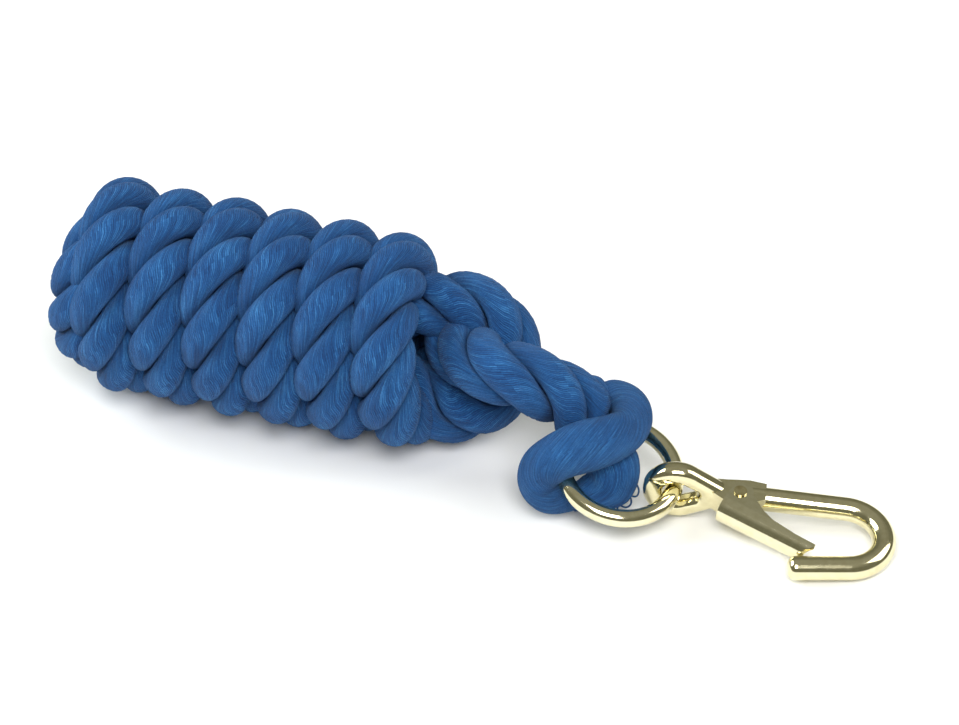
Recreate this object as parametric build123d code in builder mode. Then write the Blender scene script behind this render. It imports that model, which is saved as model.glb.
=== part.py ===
"""A horse's lead rope: a hank of three-strand cotton rope, a ring and a sprung snap hook.

Millimetres, +Z up. +X runs along the hank towards the hook, and the floor is at Z = 0.
The origin is under the middle of the whole object's box.
"""
from build123d import *
import math
import os

# Rope
rope_diameter = 24.5
lead_diameter = 26.0
wrap_count = 6.5
wrap_pitch = 21.5
wrap_radius = 27.5
hank_end_x = -17.5
hank_axis_y = 2.6
end_recess_depth = 14.0
end_recess_gap = 1.55

# The knot that holds the ring
splice_length = 2.04 * rope_diameter
splice_thickness = 1.265 * rope_diameter
splice_rounding = 0.571 * rope_diameter
splice_from_hank = 60.5
splice_y = -9.4
splice_height = 20.0
splice_direction = (36, 37, 16)

# Whipping round the rope's tail
whipping_length = 9.0
whipping_wall = 1.2
tail_length = 13.0
tail_rounding = 4.0
whipping_gap = 1.0

# Ring
ring_mean_radius = 20.4
ring_wire_radius = 3.2
ring_normal = (0.217, -0.209, 0.954)
ring_clearance = 0.35
# In ring radii: the ring's centre from the knot along x and y, and the eye from the ring's centre
ring_from_splice = (0.7745, -0.451)
eye_from_ring = (0.956, 0.0833, -0.2108)

# Hook, in its own frame: x along the shank, y towards the shank's side, z off its flat
hook_x_direction = (0.973, 0.217, -0.077)
hook_normal = (0.103, -0.111, 0.988)
rod_radius = 4.3
shank_end_x = 62.0
bend_radius = 14.0
tip_flare = 9.0
tip_arm_length = 22.0
tip_rounding = 2.8
eye_play = 1.7
eye_width = 7.1
eye_lift = 1.1
eye_tube = 7.6
eye_rounding = 3.1
eye_slot_end = 7.0
eye_slot_radius = 2.3
eye_centre_x = 1.2
neck_x = 17.0
neck_radius = 4.0
pad_share = 0.38
pad_outline = [(14, -3.4), (18, -6.2), (26, -6.6), (33, -4), (33, 3.6), (27, 4.4), (19, 3.6), (14, 3.2)]

# Gate, with u along it from the rivet and v inwards
pivot = (23.7, -2.8)
gate_height = 11.0
gate_sheet = 1.1
gate_back = 10.6
gate_start = -3.4
gate_depth = 12.0
gate_margin = 0.4
gate_seat_from_bend = 10.9
gate_seat_gap = 1.2
gate_seat_outward = 6.4
gate_end_slant = 6.1
gate_end_blunt = 1.3
gate_hollow = [(-9.6, -6.2)]
gate_ears = [(16, -5), (11, -3), (4.6, 1.4), (-4.7, 1)]
ear_radius = 4.8
rivet_radius = 1.7
rivet_clearance = 0.05
rivet_head_radius = 2.4
rivet_head_height = 0.5
rivet_head_gap = 0.1

# Spring inside the gate
spring_radius = 1.6
spring_wire_radius = 0.3
spring_pitch = 1.4
spring_clearance = 0.2
spring_along = 4.6
spring_seat_inward = 0.8
spring_length = 9.6
spring_bore_length = 12.0
spring_bore_depth = 0.6

axis_height = wrap_radius + rope_diameter / 2


def run_radii(points, share=0.45):
    """Radius at each inner corner: as large as the two runs beside it allow."""
    corners = [Vector(*point) for point in points]
    radii = []
    for before, corner, after in zip(corners, corners[1:], corners[2:]):
        first = corner - before
        second = after - corner
        half_turn = math.radians(first.get_angle(second)) / 2
        radii.append(share * min(first.length, second.length) / math.tan(half_turn))
    return radii


def rope_tube(label, points, diameter):
    """A round tube along straight runs joined by tangent arcs."""
    radii = run_radii(points)
    with BuildPart() as tube:
        with BuildLine() as route:
            FilletPolyline(*points, radius=radii)
        path = route.wire()
        with BuildSketch(Plane(origin=path @ 0, z_dir=path % 0)):
            Circle(diameter / 2)
        sweep(path=path)
    tube.part.label = label
    expected = math.pi * diameter**2 / 4 * path.length
    print(label, "radii", [round(radius, 1) for radius in radii])
    print(label, "section times length", round(expected), "volume", round(tube.part.volume))
    return tube


os.makedirs("parts", exist_ok=True)

# The wound body of the hank: one scallop for each wrap, turned about the hank's axis
hank_axis = Axis((0, hank_axis_y, axis_height), (1, 0, 0))
hank_start_x = hank_end_x - wrap_count * wrap_pitch - (rope_diameter - wrap_pitch)
scallops = math.ceil(wrap_count)
scallop_pitch = (hank_end_x - hank_start_x) / scallops
crest = axis_height + wrap_radius + rope_diameter / 2
valley = axis_height + wrap_radius + math.sqrt((rope_diameter / 2) ** 2 - (scallop_pitch / 2) ** 2)
shoulder = axis_height + wrap_radius
with BuildPart() as rope_hank:
    with BuildSketch(Plane.XZ.offset(-hank_axis_y)):
        with BuildLine():
            Line((hank_start_x, axis_height), (hank_start_x, shoulder))
            for wrap in range(scallops):
                left = hank_start_x + wrap * scallop_pitch
                right = left + scallop_pitch
                start = shoulder if wrap == 0 else valley
                end = shoulder if wrap == scallops - 1 else valley
                ThreePointArc((left, start), (left + scallop_pitch / 2, crest), (right, end))
            Line((hank_end_x, shoulder), (hank_end_x, axis_height))
            Line((hank_end_x, axis_height), (hank_start_x, axis_height))
        make_face()
    revolve(axis=hank_axis)
    with BuildSketch(Plane.YZ.offset(hank_start_x)):
        with Locations((hank_axis_y, axis_height)):
            Circle(rope_diameter / 2 + whipping_wall + end_recess_gap)
    extrude(amount=end_recess_depth, mode=Mode.SUBTRACT)
rope_hank.part.label = "rope_hank"
export_step(rope_hank.part, "parts/rope_hank.step")

# The bight: the fold of the core that stands out of the hank's end
# Its points are in rope diameters from the middle of the hank's end
bight_shape = [
    (0, 0.53, 0.54),
    (0.45, 0.53, 0.54),
    (0.9, 0.51, 0.275),
    (1.06, 0.41, -0.235),
    (0.857, 0.184, -0.765),
    (0.45, -0.082, -0.99),
    (0, -0.082, -0.99),
]
hank_end = Vector(hank_end_x, hank_axis_y, axis_height)
bight_points = [hank_end + Vector(*point) * rope_diameter for point in bight_shape]
rope_bight = rope_tube("rope_bight", bight_points, rope_diameter)
export_step(rope_bight.part, "parts/rope_bight.step")

# The lead: the last wrap comes up through the bight and runs down to the knot
splice_centre = Vector(hank_end_x + splice_from_hank, splice_y, splice_height)
lead_from_hank = [(-8.5, 24.4, -13.75), (5.5, 17.4, -8.75), (17.5, 1.4, -0.75), (29.5, -12.6, 4.75)]
lead_from_splice = [(-18, -2.6, 23), (-7, 0.4, 14)]
lead_points = [hank_end + Vector(*offset) for offset in lead_from_hank]
lead_points += [splice_centre + Vector(*offset) for offset in lead_from_splice]
rope_lead = rope_tube("rope_lead", lead_points, lead_diameter)
export_step(rope_lead.part, "parts/rope_lead.step")

# The knot: a closed round-ended solid with a channel for the ring
eye_hole_radius = ring_wire_radius + eye_play
eye_outer_radius = eye_hole_radius + eye_width
ring_centre = Vector(
    splice_centre.X + ring_from_splice[0] * ring_mean_radius,
    splice_centre.Y + ring_from_splice[1] * ring_mean_radius,
    eye_outer_radius + eye_lift - eye_from_ring[2] * ring_mean_radius,
)
splice_plane = Plane(origin=splice_centre, z_dir=splice_direction)
ring_x = Vector(1, 0, -ring_normal[0] / ring_normal[2])
ring_plane = Plane(origin=ring_centre, x_dir=ring_x, z_dir=ring_normal)
with BuildPart() as ring_channel:
    with Locations(ring_plane):
        Torus(ring_mean_radius, ring_wire_radius + ring_clearance)
with BuildPart() as rope_splice:
    with Locations(splice_plane):
        Cylinder(splice_thickness / 2, splice_length)
    fillet(rope_splice.edges().filter_by(GeomType.CIRCLE), splice_rounding)
    add(ring_channel.part, mode=Mode.SUBTRACT)
rope_splice.part.label = "rope_splice"
export_step(rope_splice.part, "parts/rope_splice.step")

# The rope's tail ends in the hollow of the hank's far end, whipped with twine
tail_plane = Plane(origin=(hank_start_x + end_recess_depth, hank_axis_y, axis_height), z_dir=(-1, 0, 0))
with BuildPart(tail_plane) as rope_tail:
    Cylinder(rope_diameter / 2, tail_length, align=(Align.CENTER, Align.CENTER, Align.MIN))
    fillet(rope_tail.faces().sort_by(Axis.X)[0].edges(), tail_rounding)
rope_tail.part.label = "rope_tail"
export_step(rope_tail.part, "parts/rope_tail.step")

whipping_plane = tail_plane.offset(whipping_gap)
with BuildPart() as tail_whipping:
    with BuildSketch(whipping_plane):
        Circle(rope_diameter / 2 + whipping_wall)
        Circle(rope_diameter / 2, mode=Mode.SUBTRACT)
    extrude(amount=whipping_length)
    fillet(tail_whipping.edges().filter_by(GeomType.CIRCLE).group_by(SortBy.LENGTH)[-1], whipping_wall * 0.6)
tail_whipping.part.label = "tail_whipping"
export_step(tail_whipping.part, "parts/tail_whipping.step")

# Ring
with BuildPart() as ring:
    with Locations(ring_plane):
        Torus(ring_mean_radius, ring_wire_radius)
ring.part.label = "ring"
export_step(ring.part, "parts/ring.step")

# Hook body: eye, neck, flat pad for the gate, shank, bend and tip, made flat and then placed
hook_origin = ring_centre + Vector(*eye_from_ring) * ring_mean_radius
hook_plane = Plane(origin=hook_origin, x_dir=hook_x_direction, z_dir=hook_normal)

# The gate's end seats beside the tip arm, which sets how the gate is turned and how long it is
arm_turn = math.radians(tip_flare)
bend_end = Vector(shank_end_x + bend_radius * math.sin(arm_turn), -bend_radius * (1 + math.cos(arm_turn)))
arm_direction = Vector(-math.cos(arm_turn), -math.sin(arm_turn))
arm_inward = Vector(-math.sin(arm_turn), math.cos(arm_turn))
gate_seat = bend_end + arm_direction * gate_seat_from_bend + arm_inward * (rod_radius + gate_seat_gap)
gate_chord = gate_seat - Vector(*pivot)
gate_reach = math.sqrt(gate_chord.length**2 - gate_seat_outward**2)
seat_turn = math.degrees(math.atan2(gate_seat_outward, gate_reach))
gate_angle = math.degrees(math.atan2(gate_chord.Y, gate_chord.X)) + seat_turn
gate_along = Vector(1, 0, 0).rotate(Axis.Z, gate_angle)
gate_inward = Vector(0, 1, 0).rotate(Axis.Z, gate_angle)
gate_plane = Plane(origin=(*pivot, 0), x_dir=gate_along, z_dir=(0, 0, 1))
spring_seat = gate_plane.origin + gate_along * spring_along + gate_inward * spring_seat_inward
spring_plane = Plane(origin=spring_seat + gate_inward * spring_bore_depth, x_dir=(0, 0, 1), z_dir=-gate_inward)
with BuildPart() as hook_flat:
    # The eye stands square to the hook's flat
    with BuildSketch(Plane.XZ):
        with Locations((eye_centre_x, 0)):
            Circle(eye_outer_radius)
        with Locations((neck_x, 0)):
            Circle(neck_radius)
        make_hull()
    extrude(amount=eye_tube / 2, both=True)
    with BuildSketch(Plane.XZ):
        with Locations((eye_centre_x, 0)):
            Circle(eye_hole_radius)
        with Locations((eye_slot_end, 0)):
            Circle(eye_slot_radius)
        make_hull()
    extrude(amount=eye_tube, both=True, mode=Mode.SUBTRACT)
    eye_sides = hook_flat.faces().filter_by(Axis.Y)
    fillet(eye_sides.edges(), eye_rounding)
    # The shank, the bend and the tip arm are one round rod
    with BuildLine() as rod_route:
        shank = Line((pivot[0], 0), (shank_end_x, 0))
        RadiusArc(shank @ 1, bend_end, bend_radius)
        PolarLine(bend_end, tip_arm_length, 180 + tip_flare)
    rod_path = rod_route.wire()
    with BuildSketch(Plane(origin=rod_path @ 0, z_dir=rod_path % 0)):
        Circle(rod_radius)
    sweep(path=rod_path)
    tip_face = hook_flat.faces().filter_by(GeomType.PLANE).sort_by(Axis.Y)[0]
    fillet(tip_face.edges(), tip_rounding)
    # The pad between the ears of the gate
    with BuildSketch():
        with BuildLine():
            Polyline(pad_outline, close=True)
        make_face()
    extrude(amount=pad_share * gate_height, both=True)
    with Locations((*pivot, 0)):
        Hole(rivet_radius)
    # A blind bore in the pad seats the spring
    with BuildSketch(spring_plane):
        Circle(spring_radius + spring_wire_radius + spring_clearance)
    extrude(amount=spring_bore_length, mode=Mode.SUBTRACT)
with BuildPart() as hook_body:
    with Locations(hook_plane):
        add(hook_flat.part)
hook_body.part.label = "hook_body"
export_step(hook_body.part, "parts/hook_body.step")

# Gate: a folded sheet channel with a round back and two ears on the rivet
section_plane = Plane(origin=gate_plane.origin + gate_along * gate_start, x_dir=gate_inward, z_dir=gate_along)
inner_height = gate_height - 2 * gate_sheet
gate_edge = -gate_back - gate_margin
gate_blunt_edge = -gate_seat_outward - gate_end_blunt * (-gate_seat_outward - gate_edge) / gate_end_slant
gate_outline = [(gate_start, gate_edge), (gate_reach - gate_end_slant, gate_edge)]
gate_outline += [(gate_reach - gate_end_blunt, gate_blunt_edge), (gate_reach - gate_end_blunt, -gate_seat_outward)]
gate_outline += [(gate_reach + along, inward) for along, inward in gate_hollow] + gate_ears
with BuildPart() as gate_flat:
    with BuildSketch(section_plane):
        with Locations((gate_height / 2 - gate_back, 0)):
            Circle(gate_height / 2)
            Rectangle(gate_depth, gate_height, align=(Align.MIN, Align.CENTER))
            Circle(inner_height / 2, mode=Mode.SUBTRACT)
            Rectangle(gate_depth, inner_height, align=(Align.MIN, Align.CENTER), mode=Mode.SUBTRACT)
    extrude(amount=gate_reach - 2 * gate_start)
    with BuildSketch(gate_plane):
        Circle(ear_radius)
        with BuildLine():
            Polyline(gate_outline, close=True)
        make_face()
        Circle(rivet_radius + rivet_clearance, mode=Mode.SUBTRACT)
    extrude(amount=gate_height, both=True, mode=Mode.INTERSECT)
with BuildPart() as gate:
    with Locations(hook_plane):
        add(gate_flat.part)
gate.part.label = "gate"
export_step(gate.part, "parts/gate.step")

# Rivet, with a low round head at each end
with BuildPart() as rivet_flat:
    with Locations((*pivot, 0)):
        head_height = gate_height / 2 + rivet_head_gap + rivet_head_height / 2
        Cylinder(rivet_radius, 2 * head_height)
        for side in (1, -1):
            with Locations((0, 0, side * head_height)):
                Cylinder(rivet_head_radius, rivet_head_height)
with BuildPart() as gate_rivet:
    with Locations(hook_plane):
        add(rivet_flat.part)
gate_rivet.part.label = "gate_rivet"
export_step(gate_rivet.part, "parts/gate_rivet.step")

# Spring that pushes the gate shut
with BuildPart() as spring_flat:
    with BuildLine():
        coil = Helix(spring_pitch, spring_length, spring_radius, center=spring_seat, direction=-gate_inward)
    with BuildSketch(Plane(origin=coil @ 0, z_dir=coil % 0)):
        Circle(spring_wire_radius)
    sweep(path=coil, is_frenet=True)
with BuildPart() as gate_spring:
    with Locations(hook_plane):
        add(spring_flat.part)
gate_spring.part.label = "gate_spring"
export_step(gate_spring.part, "parts/gate_spring.step")
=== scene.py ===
import math

import bmesh
import bpy
from mathutils import Matrix, Vector


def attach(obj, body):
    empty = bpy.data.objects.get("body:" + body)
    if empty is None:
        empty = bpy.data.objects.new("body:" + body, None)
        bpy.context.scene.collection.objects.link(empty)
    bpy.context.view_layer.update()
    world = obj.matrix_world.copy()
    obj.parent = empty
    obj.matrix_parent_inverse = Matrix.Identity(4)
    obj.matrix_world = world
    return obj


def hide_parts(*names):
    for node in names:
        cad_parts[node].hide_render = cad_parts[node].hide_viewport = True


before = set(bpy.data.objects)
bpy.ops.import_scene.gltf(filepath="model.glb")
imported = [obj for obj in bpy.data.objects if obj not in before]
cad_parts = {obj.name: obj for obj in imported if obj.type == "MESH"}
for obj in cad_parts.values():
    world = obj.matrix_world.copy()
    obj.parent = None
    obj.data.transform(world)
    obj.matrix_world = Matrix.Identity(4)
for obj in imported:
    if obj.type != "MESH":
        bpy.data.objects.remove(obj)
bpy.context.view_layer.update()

mm = 0.001
fullTurn = 2 * math.pi


# Node helpers, for materials and the world alike

def linear(hexColour):
    channels = [int(hexColour[i:i + 2], 16) / 255 for i in (0, 2, 4)]
    return [c / 12.92 if c <= 0.04045 else ((c + 0.055) / 1.055) ** 2.4 for c in channels] + [1.0]


def addNode(owner, kind, settings=None, links=None):
    node = owner.node_tree.nodes.new(kind)
    for name, value in (settings or {}).items():
        if name.startswith("in:"):
            key = name[3:]
            node.inputs[int(key) if key.isdigit() else key].default_value = value
        else:
            setattr(node, name, value)
    for key, source in (links or {}).items():
        owner.node_tree.links.new(source, node.inputs[key])
    return node


def addNoise(owner, place, scale, detail, roughness=0.5):
    settings = {"in:Scale": scale, "in:Detail": detail, "in:Roughness": roughness}
    return addNode(owner, "ShaderNodeTexNoise", settings, {"Vector": place}).outputs[0]


def addProduct(owner, value, factor, plus=None):
    operation = "MULTIPLY" if plus is None else "MULTIPLY_ADD"
    links = {0: value} if plus is None else {0: value, 2: plus}
    return addNode(owner, "ShaderNodeMath", {"operation": operation, "in:1": factor}, links).outputs[0]


def addRange(owner, value, settings):
    return addNode(owner, "ShaderNodeMapRange", settings, {"Value": value}).outputs[0]


def addRamp(owner, value, stops):
    ramp = addNode(owner, "ShaderNodeValToRGB", links={0: value})
    elements = ramp.color_ramp.elements
    for i, (position, hexColour) in enumerate(stops):
        element = elements[i] if i < len(elements) else elements.new(position)
        element.position = position
        element.color = linear(hexColour)
    return ramp.outputs[0]


# Camera and light

view = {"turn": 18, "height": 38, "distance": 1.3, "lens": 134.2, "target": (-0.00157, 0.00513, 0.03441)}
lampTarget = (0, 0, 0.03)
lamps = {
    "overCamera": {"place": (0.35, -0.95, 1.25), "size": 0.8, "watts": 23, "colour": "FFFFFF"},
    "left": {"place": (-1.2, -0.1, 0.95), "size": 0.9, "watts": 18, "colour": "FAFFFD"},
    "right": {"place": (1.15, 0.45, 1.0), "size": 0.9, "watts": 10, "colour": "FFFFFA"},
}
roomLight = {"walls": (0.55, "7A7A6C"), "ceiling": (0.9, "9C9C90"), "strength": 0.88}


def viewFrom(turn, height):
    turn, height = math.radians(turn), math.radians(height)
    return Vector((math.sin(turn) * math.cos(height), -math.cos(turn) * math.cos(height), math.sin(height)))


def aim(thing, place, target):
    back = (Vector(place) - Vector(target)).normalized()
    right = Vector((0, 0, 1)).cross(back).normalized()
    up = back.cross(right)
    thing.matrix_world = Matrix.Translation(place) @ Matrix((right, up, back)).transposed().to_4x4()


cameraData = bpy.data.cameras.new("camera")
cameraData.lens = view["lens"]
cameraData.clip_start = 0.01
cameraObject = bpy.data.objects.new("camera", cameraData)
bpy.context.collection.objects.link(cameraObject)
target = Vector(view["target"])
aim(cameraObject, target + viewFrom(view["turn"], view["height"]) * view["distance"], target)
bpy.context.scene.camera = cameraObject

for lampName, lamp in lamps.items():
    lampData = bpy.data.lights.new(lampName, "AREA")
    lampData.size = lamp["size"]
    lampData.energy = lamp["watts"]
    lampData.color = linear(lamp["colour"])[:3]
    lampObject = bpy.data.objects.new(lampName, lampData)
    bpy.context.collection.objects.link(lampObject)
    aim(lampObject, lamp["place"], lampTarget)

# A dim room round the lamps, so that polished metal has something dark to mirror
room = bpy.data.worlds.new("room")
room.use_nodes = True
around = addNode(room, "ShaderNodeTexCoord").outputs["Generated"]
rise = addNode(room, "ShaderNodeSeparateXYZ", links={0: around}).outputs["Z"]
shade = addRamp(room, rise, [roomLight["walls"], roomLight["ceiling"]])
background = room.node_tree.nodes["Background"]
background.inputs["Strength"].default_value = roomLight["strength"]
room.node_tree.links.new(shade, background.inputs["Color"])
bpy.context.scene.world = room
bpy.context.scene.view_settings.view_transform = "Standard"
print("camera and lights set")

# Materials

# The cotton ramp runs from the deep end to the bright end: real dye variation, plus painted shade in the grooves
# between yarns and painted lighter yarn crests
cotton = {
    "deepDyeAndPaintedGrooveShade": "08224E", "mid": "1B4F88", "paleDyeAndPaintedCrestLight": "5099D8", "bloom": "9DBBE4",
    "yarns": 112, "yarnTurns": 19.5, "grooveDepth": 0.5 * mm, "rough": 0.86,
}
waxedTwine = {"yarns": 6, "yarnTurns": 300}


def newMaterial(name, settings):
    material = bpy.data.materials.new(name)
    material.use_nodes = True
    shader = material.node_tree.nodes["Principled BSDF"]
    for key, value in settings.items():
        shader.inputs[key].default_value = value
    return material, shader


# Dyed cotton yarn, laid up: soft, matte, with a faint bloom along its edges
def ropeCotton(name, yarns, yarnTurns):
    material, shader = newMaterial(name, {
        "Roughness": cotton["rough"], "Sheen Weight": 0.16, "Sheen Roughness": 0.45,
        "Sheen Tint": linear(cotton["bloom"]), "Specular IOR Level": 0.25,
    })
    uv = addNode(material, "ShaderNodeUVMap", {"uv_map": "strand"}).outputs[0]
    place = addNode(material, "ShaderNodeTexCoord").outputs["Object"]
    parts = addNode(material, "ShaderNodeSeparateXYZ", links={0: uv}).outputs
    # The yarns wind round the strand, and each wanders a little
    along = addProduct(material, parts[1], yarns * yarnTurns)
    yarn = addProduct(material, parts[0], float(yarns), along)
    bent = addProduct(material, addNoise(material, place, 160.0, 2.0), 0.9, yarn)
    turned = addProduct(material, bent, fullTurn)
    wave = addNode(material, "ShaderNodeMath", {"operation": "SINE"}, {0: turned}).outputs[0]
    # Single yarns are uneven, so the ridges come and go in streaks along them
    slide = addProduct(material, parts[1], 110.0)
    streakPlace = addNode(material, "ShaderNodeCombineXYZ", links={0: yarn, 1: slide}).outputs[0]
    streak = addNoise(material, streakPlace, 0.75, 4.0, 0.7)
    ridge = addRange(material, wave, {"in:From Min": -1.0, "in:To Max": 0.3})
    crestForBumpAndShade = addProduct(material, streak, 1.5, ridge)
    # Plied fibres about 0.5 mm apart, and slow changes in the dye over 15 mm
    fibre = addNoise(material, place, 1600.0, 3.0, 0.65)
    dye = addNoise(material, place, 70.0, 3.0)
    height = addProduct(material, fibre, 0.35, crestForBumpAndShade)
    # The colour follows the yarn crests as well as the fibre and dye noise: painted shade darkens the grooves between
    # yarns, and the crests are painted lighter
    toneAndPaintedGrooveShade = addProduct(material, fibre, 0.45, addProduct(material, dye, 0.55, crestForBumpAndShade))
    spreadToneAndShade = addRange(material, toneAndPaintedGrooveShade, {"in:From Min": 0.9, "in:From Max": 2.1})
    colour = addRamp(material, spreadToneAndShade, [(0.0, cotton["deepDyeAndPaintedGrooveShade"]), (0.5, cotton["mid"]), (1.0, cotton["paleDyeAndPaintedCrestLight"])])
    bump = addNode(material, "ShaderNodeBump", {"in:Strength": 1.0, "in:Distance": cotton["grooveDepth"]},
                   {"Height": height}).outputs[0]
    material.node_tree.links.new(colour, shader.inputs["Base Color"])
    material.node_tree.links.new(bump, shader.inputs["Normal"])
    return material


# Brass plate over a casting or sheet: pale gold, polished, a little uneven under the plate
def platedMetal(name, colour, dull, rough):
    material, shader = newMaterial(name, {"Metallic": 1.0, "Roughness": rough})
    place = addNode(material, "ShaderNodeTexCoord").outputs["Object"]
    cast = addNoise(material, place, 130.0, 2.0)
    wear = addNoise(material, place, 420.0, 5.0)
    plate = addRamp(material, wear, [(0.3, dull), (0.6, colour)])
    polish = addRange(material, wear, {"in:To Min": rough * 0.7, "in:To Max": rough * 1.3})
    bump = addNode(material, "ShaderNodeBump", {"in:Strength": 0.12, "in:Distance": 0.2 * mm},
                   {"Height": cast}).outputs[0]
    material.node_tree.links.new(plate, shader.inputs["Base Color"])
    material.node_tree.links.new(polish, shader.inputs["Roughness"])
    material.node_tree.links.new(bump, shader.inputs["Normal"])
    return material


ropeMaterial = ropeCotton("laidCottonRope", cotton["yarns"], cotton["yarnTurns"])
metals = {
    "ring": platedMetal("brassPlatedRing", "ECE5C2", "E4DCB6", 0.11),
    "hook_body": platedMetal("brassPlatedCasting", "EAE2BC", "E2D9B0", 0.12),
    "gate": platedMetal("brassPlatedSheet", "EDE6C4", "E5DDB8", 0.11),
    "gate_rivet": platedMetal("brassRivet", "DFD2A4", "C9B988", 0.2),
    "gate_spring": platedMetal("springSteelWire", "B9BBBE", "A2A4A8", 0.25),
}
for nodeName, metal in metals.items():
    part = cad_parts[nodeName]
    part.data.materials.clear()
    part.data.materials.append(metal)
print("materials made")


# Lines, the frames carried along them, and strands swept along the frames

def smoothLine(name, points, resolution):
    curve = bpy.data.curves.new(name, "CURVE")
    curve.dimensions = "3D"
    curve.resolution_u = resolution
    spline = curve.splines.new("NURBS")
    spline.points.add(len(points) - 1)
    for place, point in zip(spline.points, points):
        place.co = (*point, 1)
    spline.order_u = 3
    spline.use_endpoint_u = True
    curveObject = bpy.data.objects.new(name, curve)
    bpy.context.collection.objects.link(curveObject)
    mesh = bpy.data.meshes.new_from_object(curveObject)
    line = [vertex.co.copy() for vertex in mesh.vertices]
    bpy.data.objects.remove(curveObject)
    bpy.data.curves.remove(curve)
    bpy.data.meshes.remove(mesh)
    return [point for i, point in enumerate(line) if i == 0 or (point - line[i - 1]).length > 1e-6]


def carriedFrames(line, across, facing=None):
    # Each frame is the last one turned as little as the line's new direction allows, or looks towards facing
    frames = []
    for i, point in enumerate(line):
        across = facing or across
        tangent = (line[min(i + 1, len(line) - 1)] - line[max(i - 1, 0)]).normalized()
        across = (across - tangent * across.dot(tangent)).normalized()
        frames.append((point, tangent, across, tangent.cross(across)))
    return frames


def sweepStrand(bm, frames, section, sides):
    # section gives, for a ring's index and the angle round it, the offset across the line
    uvLayer = bm.loops.layers.uv.get("strand") or bm.loops.layers.uv.new("strand")
    rings, distances = [], [0.0]
    for i, (point, tangent, first, second) in enumerate(frames):
        if i:
            distances.append(distances[-1] + (point - frames[i - 1][0]).length)
        rings.append([bm.verts.new(point + section(i, fullTurn * k / sides)) for k in range(sides)])
    for i in range(len(rings) - 1):
        for k in range(sides):
            after = (k + 1) % sides
            face = bm.faces.new((rings[i][k], rings[i][after], rings[i + 1][after], rings[i + 1][k]))
            face.smooth = True
            corners = ((k, i), (k + 1, i), (k + 1, i + 1), (k, i + 1))
            for loop, (side, row) in zip(face.loops, corners):
                loop[uvLayer].uv = (side / sides, distances[row])
    for ring, distance, flip in ((rings[0], distances[0], True), (rings[-1], distances[-1], False)):
        middle = bm.verts.new(sum((vertex.co for vertex in ring), Vector()) / sides)
        for k in range(sides):
            pair = (ring[k], ring[(k + 1) % sides])
            face = bm.faces.new((pair[1], pair[0], middle) if flip else (*pair, middle))
            face.smooth = True
            for loop in face.loops:
                loop[uvLayer].uv = (0.5, distance)


def sweepThread(bm, frames, radius, sides):
    def threadSection(i, angle):
        point, tangent, first, second = frames[i]
        return (first * math.cos(angle) + second * math.sin(angle)) * radius
    sweepStrand(bm, frames, threadSection, sides)


def finishPiece(name, bm, material):
    bmesh.ops.recalc_face_normals(bm, faces=bm.faces)
    mesh = bpy.data.meshes.new(name)
    bm.to_mesh(mesh)
    bm.free()
    piece = bpy.data.objects.new(name, mesh)
    bpy.context.collection.objects.link(piece)
    mesh.materials.append(material)
    return piece


def inMetres(points):
    return [tuple(c * mm for c in point) for point in points]


# The rope: one run from the knot through the bight, round the hank and back through its core

rope = {
    "diameter": 0.0245, "strands": 3, "leadLay": 0.06, "coreLay": 0.055,
    "sides": 32, "ringsPerPoint": 8, "strandMiddle": 0.56, "strandHeight": 0.46, "strandSpread": 58, "fullness": 0.85,
}
hank = {
    "axis": (0.0026, 0.03975), "radius": 0.0282, "pitch": 0.0215, "atAngle": 2.45, "atX": -0.0305,
    "firstAngle": 5.3012, "lastAngle": -31.5, "pointsPerTurn": 14,
    "lobesPerWrap": 10.37, "turnAtStart": 1.911,
    "firstWrapEnd": -1, "firstWrapIn": 0.0012, "width": 0.98, "widthFromX": -0.012, "widthRun": 0.012,
}

# Control points in millimetres
leadRun = [
    (41.5, -5.4, 28.5), (35.5, -7.0, 36.5), (25, -10.9, 44), (12.5, -13.4, 47.5), (0.5, -6.4, 44.5),
    (-9.5, 5.6, 38.5), (-12.5, 12.8, 39), (-15, 20.2, 37), (-17.3, 24.4, 30.6), (-19.3, 23.4, 23),
]
innerRun = [(-125, 13.5, 48.5), (-108, 8.5, 49.3), (-60, 7.6, 49.3), (-30, 9.6, 50.5)]
bightRun = [
    (-19, 12.6, 52), (-6, 14.9, 52.5), (5, 15.2, 43.5), (7.8, 12, 29), (2.5, 5.4, 17.5),
    (-9, -3, 15.6), (-18, -3.6, 19),
]
tailRun = [
    (-32, -2.4, 27.5), (-60, -2.4, 30.2), (-110, -2.4, 30.2), (-132, -0.4, 34),
    (-143, 2.2, 39.2), (-151, 2.6, 39.75), (-159, 2.6, 39.75),
]
# The last half turn closes in on the whipped tail and dives into the core: angle, radius, x
endTurn = [
    (-32, 26.2, -147), (-32.5, 24, -147.4), (-33, 22, -147.6), (-33.5, 21.2, -147.8),
    (-34, 21.6, -147.8), (-34.5, 22.4, -147.6), (-35, 22.8, -147.2), (-35.5, 22.6, -146.5),
    (-36, 21.6, -145), (-36.5, 20, -142), (-37, 17.5, -137),
]


def roundHank(x, angle, radius):
    return (x, hank["axis"][0] + radius * math.cos(angle), hank["axis"][1] + radius * math.sin(angle))


wrapRun = []
wrapSteps = round((hank["firstAngle"] - hank["lastAngle"]) / fullTurn * hank["pointsPerTurn"])
for step in range(wrapSteps + 1):
    angle = hank["firstAngle"] - step * fullTurn / hank["pointsPerTurn"]
    wrapX = hank["atX"] + hank["pitch"] * (angle - hank["atAngle"]) / fullTurn
    wrapRadius = hank["radius"] - (hank["firstWrapIn"] if angle > hank["firstWrapEnd"] else 0)
    wrapRun.append(roundHank(wrapX, angle, wrapRadius))
wrapRun += [roundHank(x * mm, angle, radius * mm) for angle, radius, x in endTurn]

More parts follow.
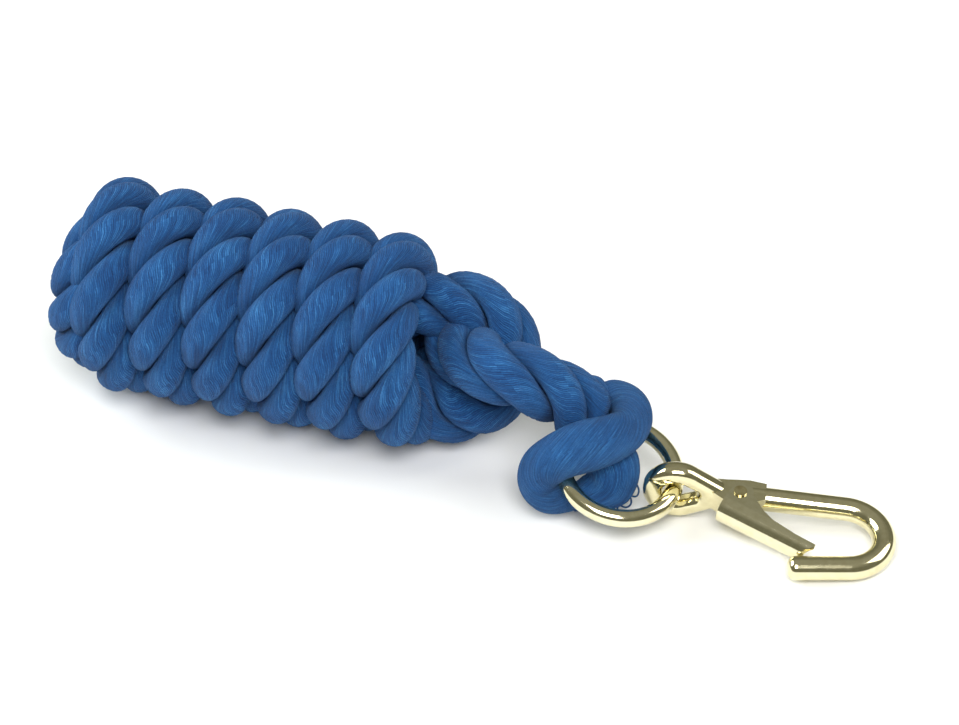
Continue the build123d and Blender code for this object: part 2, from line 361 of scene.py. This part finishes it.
routePoints = inMetres(leadRun) + wrapRun + inMetres(innerRun + bightRun + tailRun)
routeLine = smoothLine("ropeRoute", routePoints, rope["ringsPerPoint"])
routeFrames = carriedFrames(routeLine, Vector((0, 1, 0)))


def wrapped(angle):
    return (angle + math.pi) % fullTurn - math.pi


def layTurns(frames):
    # In the hank the strands' turn is counted from the hank's axis outwards, elsewhere from the carried frame
    firstWrapRing = rope["ringsPerPoint"] * len(leadRun)
    lastWrapRing = firstWrapRing + rope["ringsPerPoint"] * len(wrapRun)
    turns, base, laid, angle = [], None, 0.0, 0.0
    for i, (point, tangent, first, second) in enumerate(frames):
        inWraps = firstWrapRing <= i <= lastWrapRing
        outward = Vector((0, point.y - hank["axis"][0], point.z - hank["axis"][1]))
        facing = math.atan2(outward.dot(second), outward.dot(first))
        if base is None and inWraps:
            base = angle = facing
            hankStart = laid
        if inWraps:
            angle += wrapped(facing - angle)
        if i:
            before = frames[i - 1][0]
            if inWraps:
                last = math.atan2(before.z - hank["axis"][1], before.y - hank["axis"][0])
                now = math.atan2(outward.z, outward.y)
                laid += abs(wrapped(now - last)) * hank["lobesPerWrap"] / rope["strands"]
            else:
                lay = rope["leadLay"] if base is None else rope["coreLay"]
                laid += fullTurn * (point - before).length / lay
        turns.append(laid + (angle - base if base is not None else 0))
    return [turn - hankStart + base + hank["turnAtStart"] for turn in turns]


def rounded(value):
    return math.copysign(abs(value) ** rope["fullness"], value)


ropeTurns = layTurns(routeFrames)
ropeMesh = bmesh.new()
for strand in range(rope["strands"]):
    def ropeSection(i, angle):
        point, tangent, first, second = routeFrames[i]
        # Soft strands press each other into rounded wedges
        turn = ropeTurns[i] + fullTurn * strand / rope["strands"]
        turn += math.radians(rope["strandSpread"]) * rounded(math.sin(angle))
        reach = rope["strandMiddle"] + rope["strandHeight"] * rounded(math.cos(angle))
        offset = (first * math.cos(turn) + second * math.sin(turn)) * rope["diameter"] / 2 * reach
        inHank = min(1, max(0, (hank["widthFromX"] - point.x) / hank["widthRun"]))
        offset.x *= 1 - (1 - hank["width"]) * inHank
        return offset
    sweepStrand(ropeMesh, routeFrames, ropeSection, rope["sides"])
ropePiece = finishPiece("laidRope", ropeMesh, ropeMaterial)
drawnLength = sum((b - a).length for a, b in zip(routeLine, routeLine[1:]))
print("rope laid,", round(drawnLength, 3), "m,", len(routeLine), "rings")

# The knot: the rope's opened strands, tucked back round the ring; points and radii in millimetres

knotFacing = Vector((0.24, -0.75, 0.62))
knotSides = 48
knotStrands = {
    "overStrand": {
        "points": [
            (40.5, -3, 28), (44.6, 2.6, 30), (51.2, 3.6, 32.2), (58.2, -1.6, 33), (60.2, -10.1, 31),
            (54.8, -18.3, 30.5), (46.3, -24.6, 30), (39, -29.7, 28), (33.5, -32.1, 23), (32.7, -32.9, 16),
            (36.2, -31.9, 11), (41.7, -27.6, 7.5), (46.8, -22.3, 6.5),
        ],
        "profile": [(0, 4), (0.12, 7), (0.3, 7.6), (0.48, 9.4), (0.64, 8.4), (0.85, 7.2), (1, 5)],
        "flat": 0.8, "twist": 13, "yarns": 116,
    },
    "underStrand": {
        "points": [(49, -10.5, 22), (54, -14.5, 19), (55.9, -18.1, 13), (51.4, -22.7, 8), (43.5, -26.3, 7)],
        "profile": [(0, 6), (0.25, 10.5), (0.6, 10.2), (0.85, 7), (1, 5)],
        "flat": 0.6, "twist": 5, "yarns": 110,
    },
    "backStrand": {
        "points": [(36.7, 4.8, 35), (41.4, 1.4, 35), (44.8, -2.1, 33), (46.7, -6, 30)],
        "profile": [(0, 4), (0.3, 6.4), (0.7, 6.4), (1, 4)],
        "flat": 0.9, "twist": 18, "yarns": 56,
    },
}


def smoothRadius(profile, share):
    # profile lists (share of the run, radius), eased between its entries
    for (start, low), (end, high) in zip(profile, profile[1:]):
        if share <= end:
            step = (share - start) / (end - start)
            return low + (high - low) * step * step * (3 - 2 * step)
    return profile[-1][1]


knotPieces = []
for strandName, spec in knotStrands.items():
    line = smoothLine(strandName, inMetres(spec["points"]), 10)
    frames = carriedFrames(line, knotFacing, knotFacing)

    def knotSection(i, angle):
        point, tangent, first, second = frames[i]
        radius = smoothRadius(spec["profile"], i / (len(frames) - 1)) * mm
        return first * math.cos(angle) * radius * spec["flat"] + second * math.sin(angle) * radius
    knotMesh = bmesh.new()
    sweepStrand(knotMesh, frames, knotSection, knotSides)
    knotMaterial = ropeCotton(strandName + "Cotton", spec["yarns"], spec["twist"])
    knotPieces.append(finishPiece(strandName, knotMesh, knotMaterial))

# Loose yarns that have sprung out of the knot
looseYarns = {
    "radius": 0.35 * mm, "sides": 8,
    "curls": [
        [(58.7, -14.8, 13), (63.4, -15.6, 12), (66.4, -18, 10), (65.8, -20.9, 8), (62.6, -20.3, 9)],
        [(58.3, -18.3, 10), (63.3, -20.1, 9), (64.8, -22.3, 6), (62, -24.2, 5), (59, -23, 7)],
        [(55.1, -22.7, 9), (59.5, -23.5, 7), (60.3, -24.7, 4), (57.4, -26.2, 3.5), (54.6, -25.6, 6)],
    ],
}
curlMesh = bmesh.new()
for curl in looseYarns["curls"]:
    curlFrames = carriedFrames(smoothLine("curl", inMetres(curl), 6), Vector((0, 0, 1)))
    sweepThread(curlMesh, curlFrames, looseYarns["radius"], looseYarns["sides"])
curlPiece = finishPiece("looseYarns", curlMesh, ropeMaterial)

# Whipping twine wound round the tail
whipping = {
    "turns": 6, "pointsPerTurn": 12, "thread": 0.0007, "sides": 10,
    "reach": 0.0128, "startX": -0.1478, "pitch": 0.00135,
}
twinePoints = []
for step in range(whipping["turns"] * whipping["pointsPerTurn"] + 1):
    turn = step / whipping["pointsPerTurn"]
    twineX = whipping["startX"] - whipping["pitch"] * turn
    twinePoints.append(roundHank(twineX, turn * fullTurn, whipping["reach"]))
twineFrames = carriedFrames(smoothLine("twine", twinePoints, 4), Vector((1, 0, 0)))
twineMesh = bmesh.new()
sweepThread(twineMesh, twineFrames, whipping["thread"], whipping["sides"])
twineMaterial = ropeCotton("waxedTwine", waxedTwine["yarns"], waxedTwine["yarnTurns"])
twinePiece = finishPiece("whippingTwine", twineMesh, twineMaterial)
knotPieces += [curlPiece, twinePiece]
print("knot and whipping made")

for piece in knotPieces + [ropePiece]:
    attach(piece, "rope")
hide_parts("tail_whipping")
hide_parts("rope_splice")
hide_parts("rope_hank", "rope_bight", "rope_lead", "rope_tail")

# Floor
floor = {"colour": "F6F6F6", "rough": 0.6, "size": 12, "below": 0.1 * mm}
floorLook = {"Base Color": linear(floor["colour"]), "Roughness": floor["rough"]}
floorMaterial = newMaterial("paleBoard", floorLook)[0]
floorMesh = bmesh.new()
bmesh.ops.create_grid(floorMesh, x_segments=1, y_segments=1, size=floor["size"])
bmesh.ops.translate(floorMesh, verts=floorMesh.verts, vec=(0, 0, -floor["below"]))
floorPiece = finishPiece("floor", floorMesh, floorMaterial)
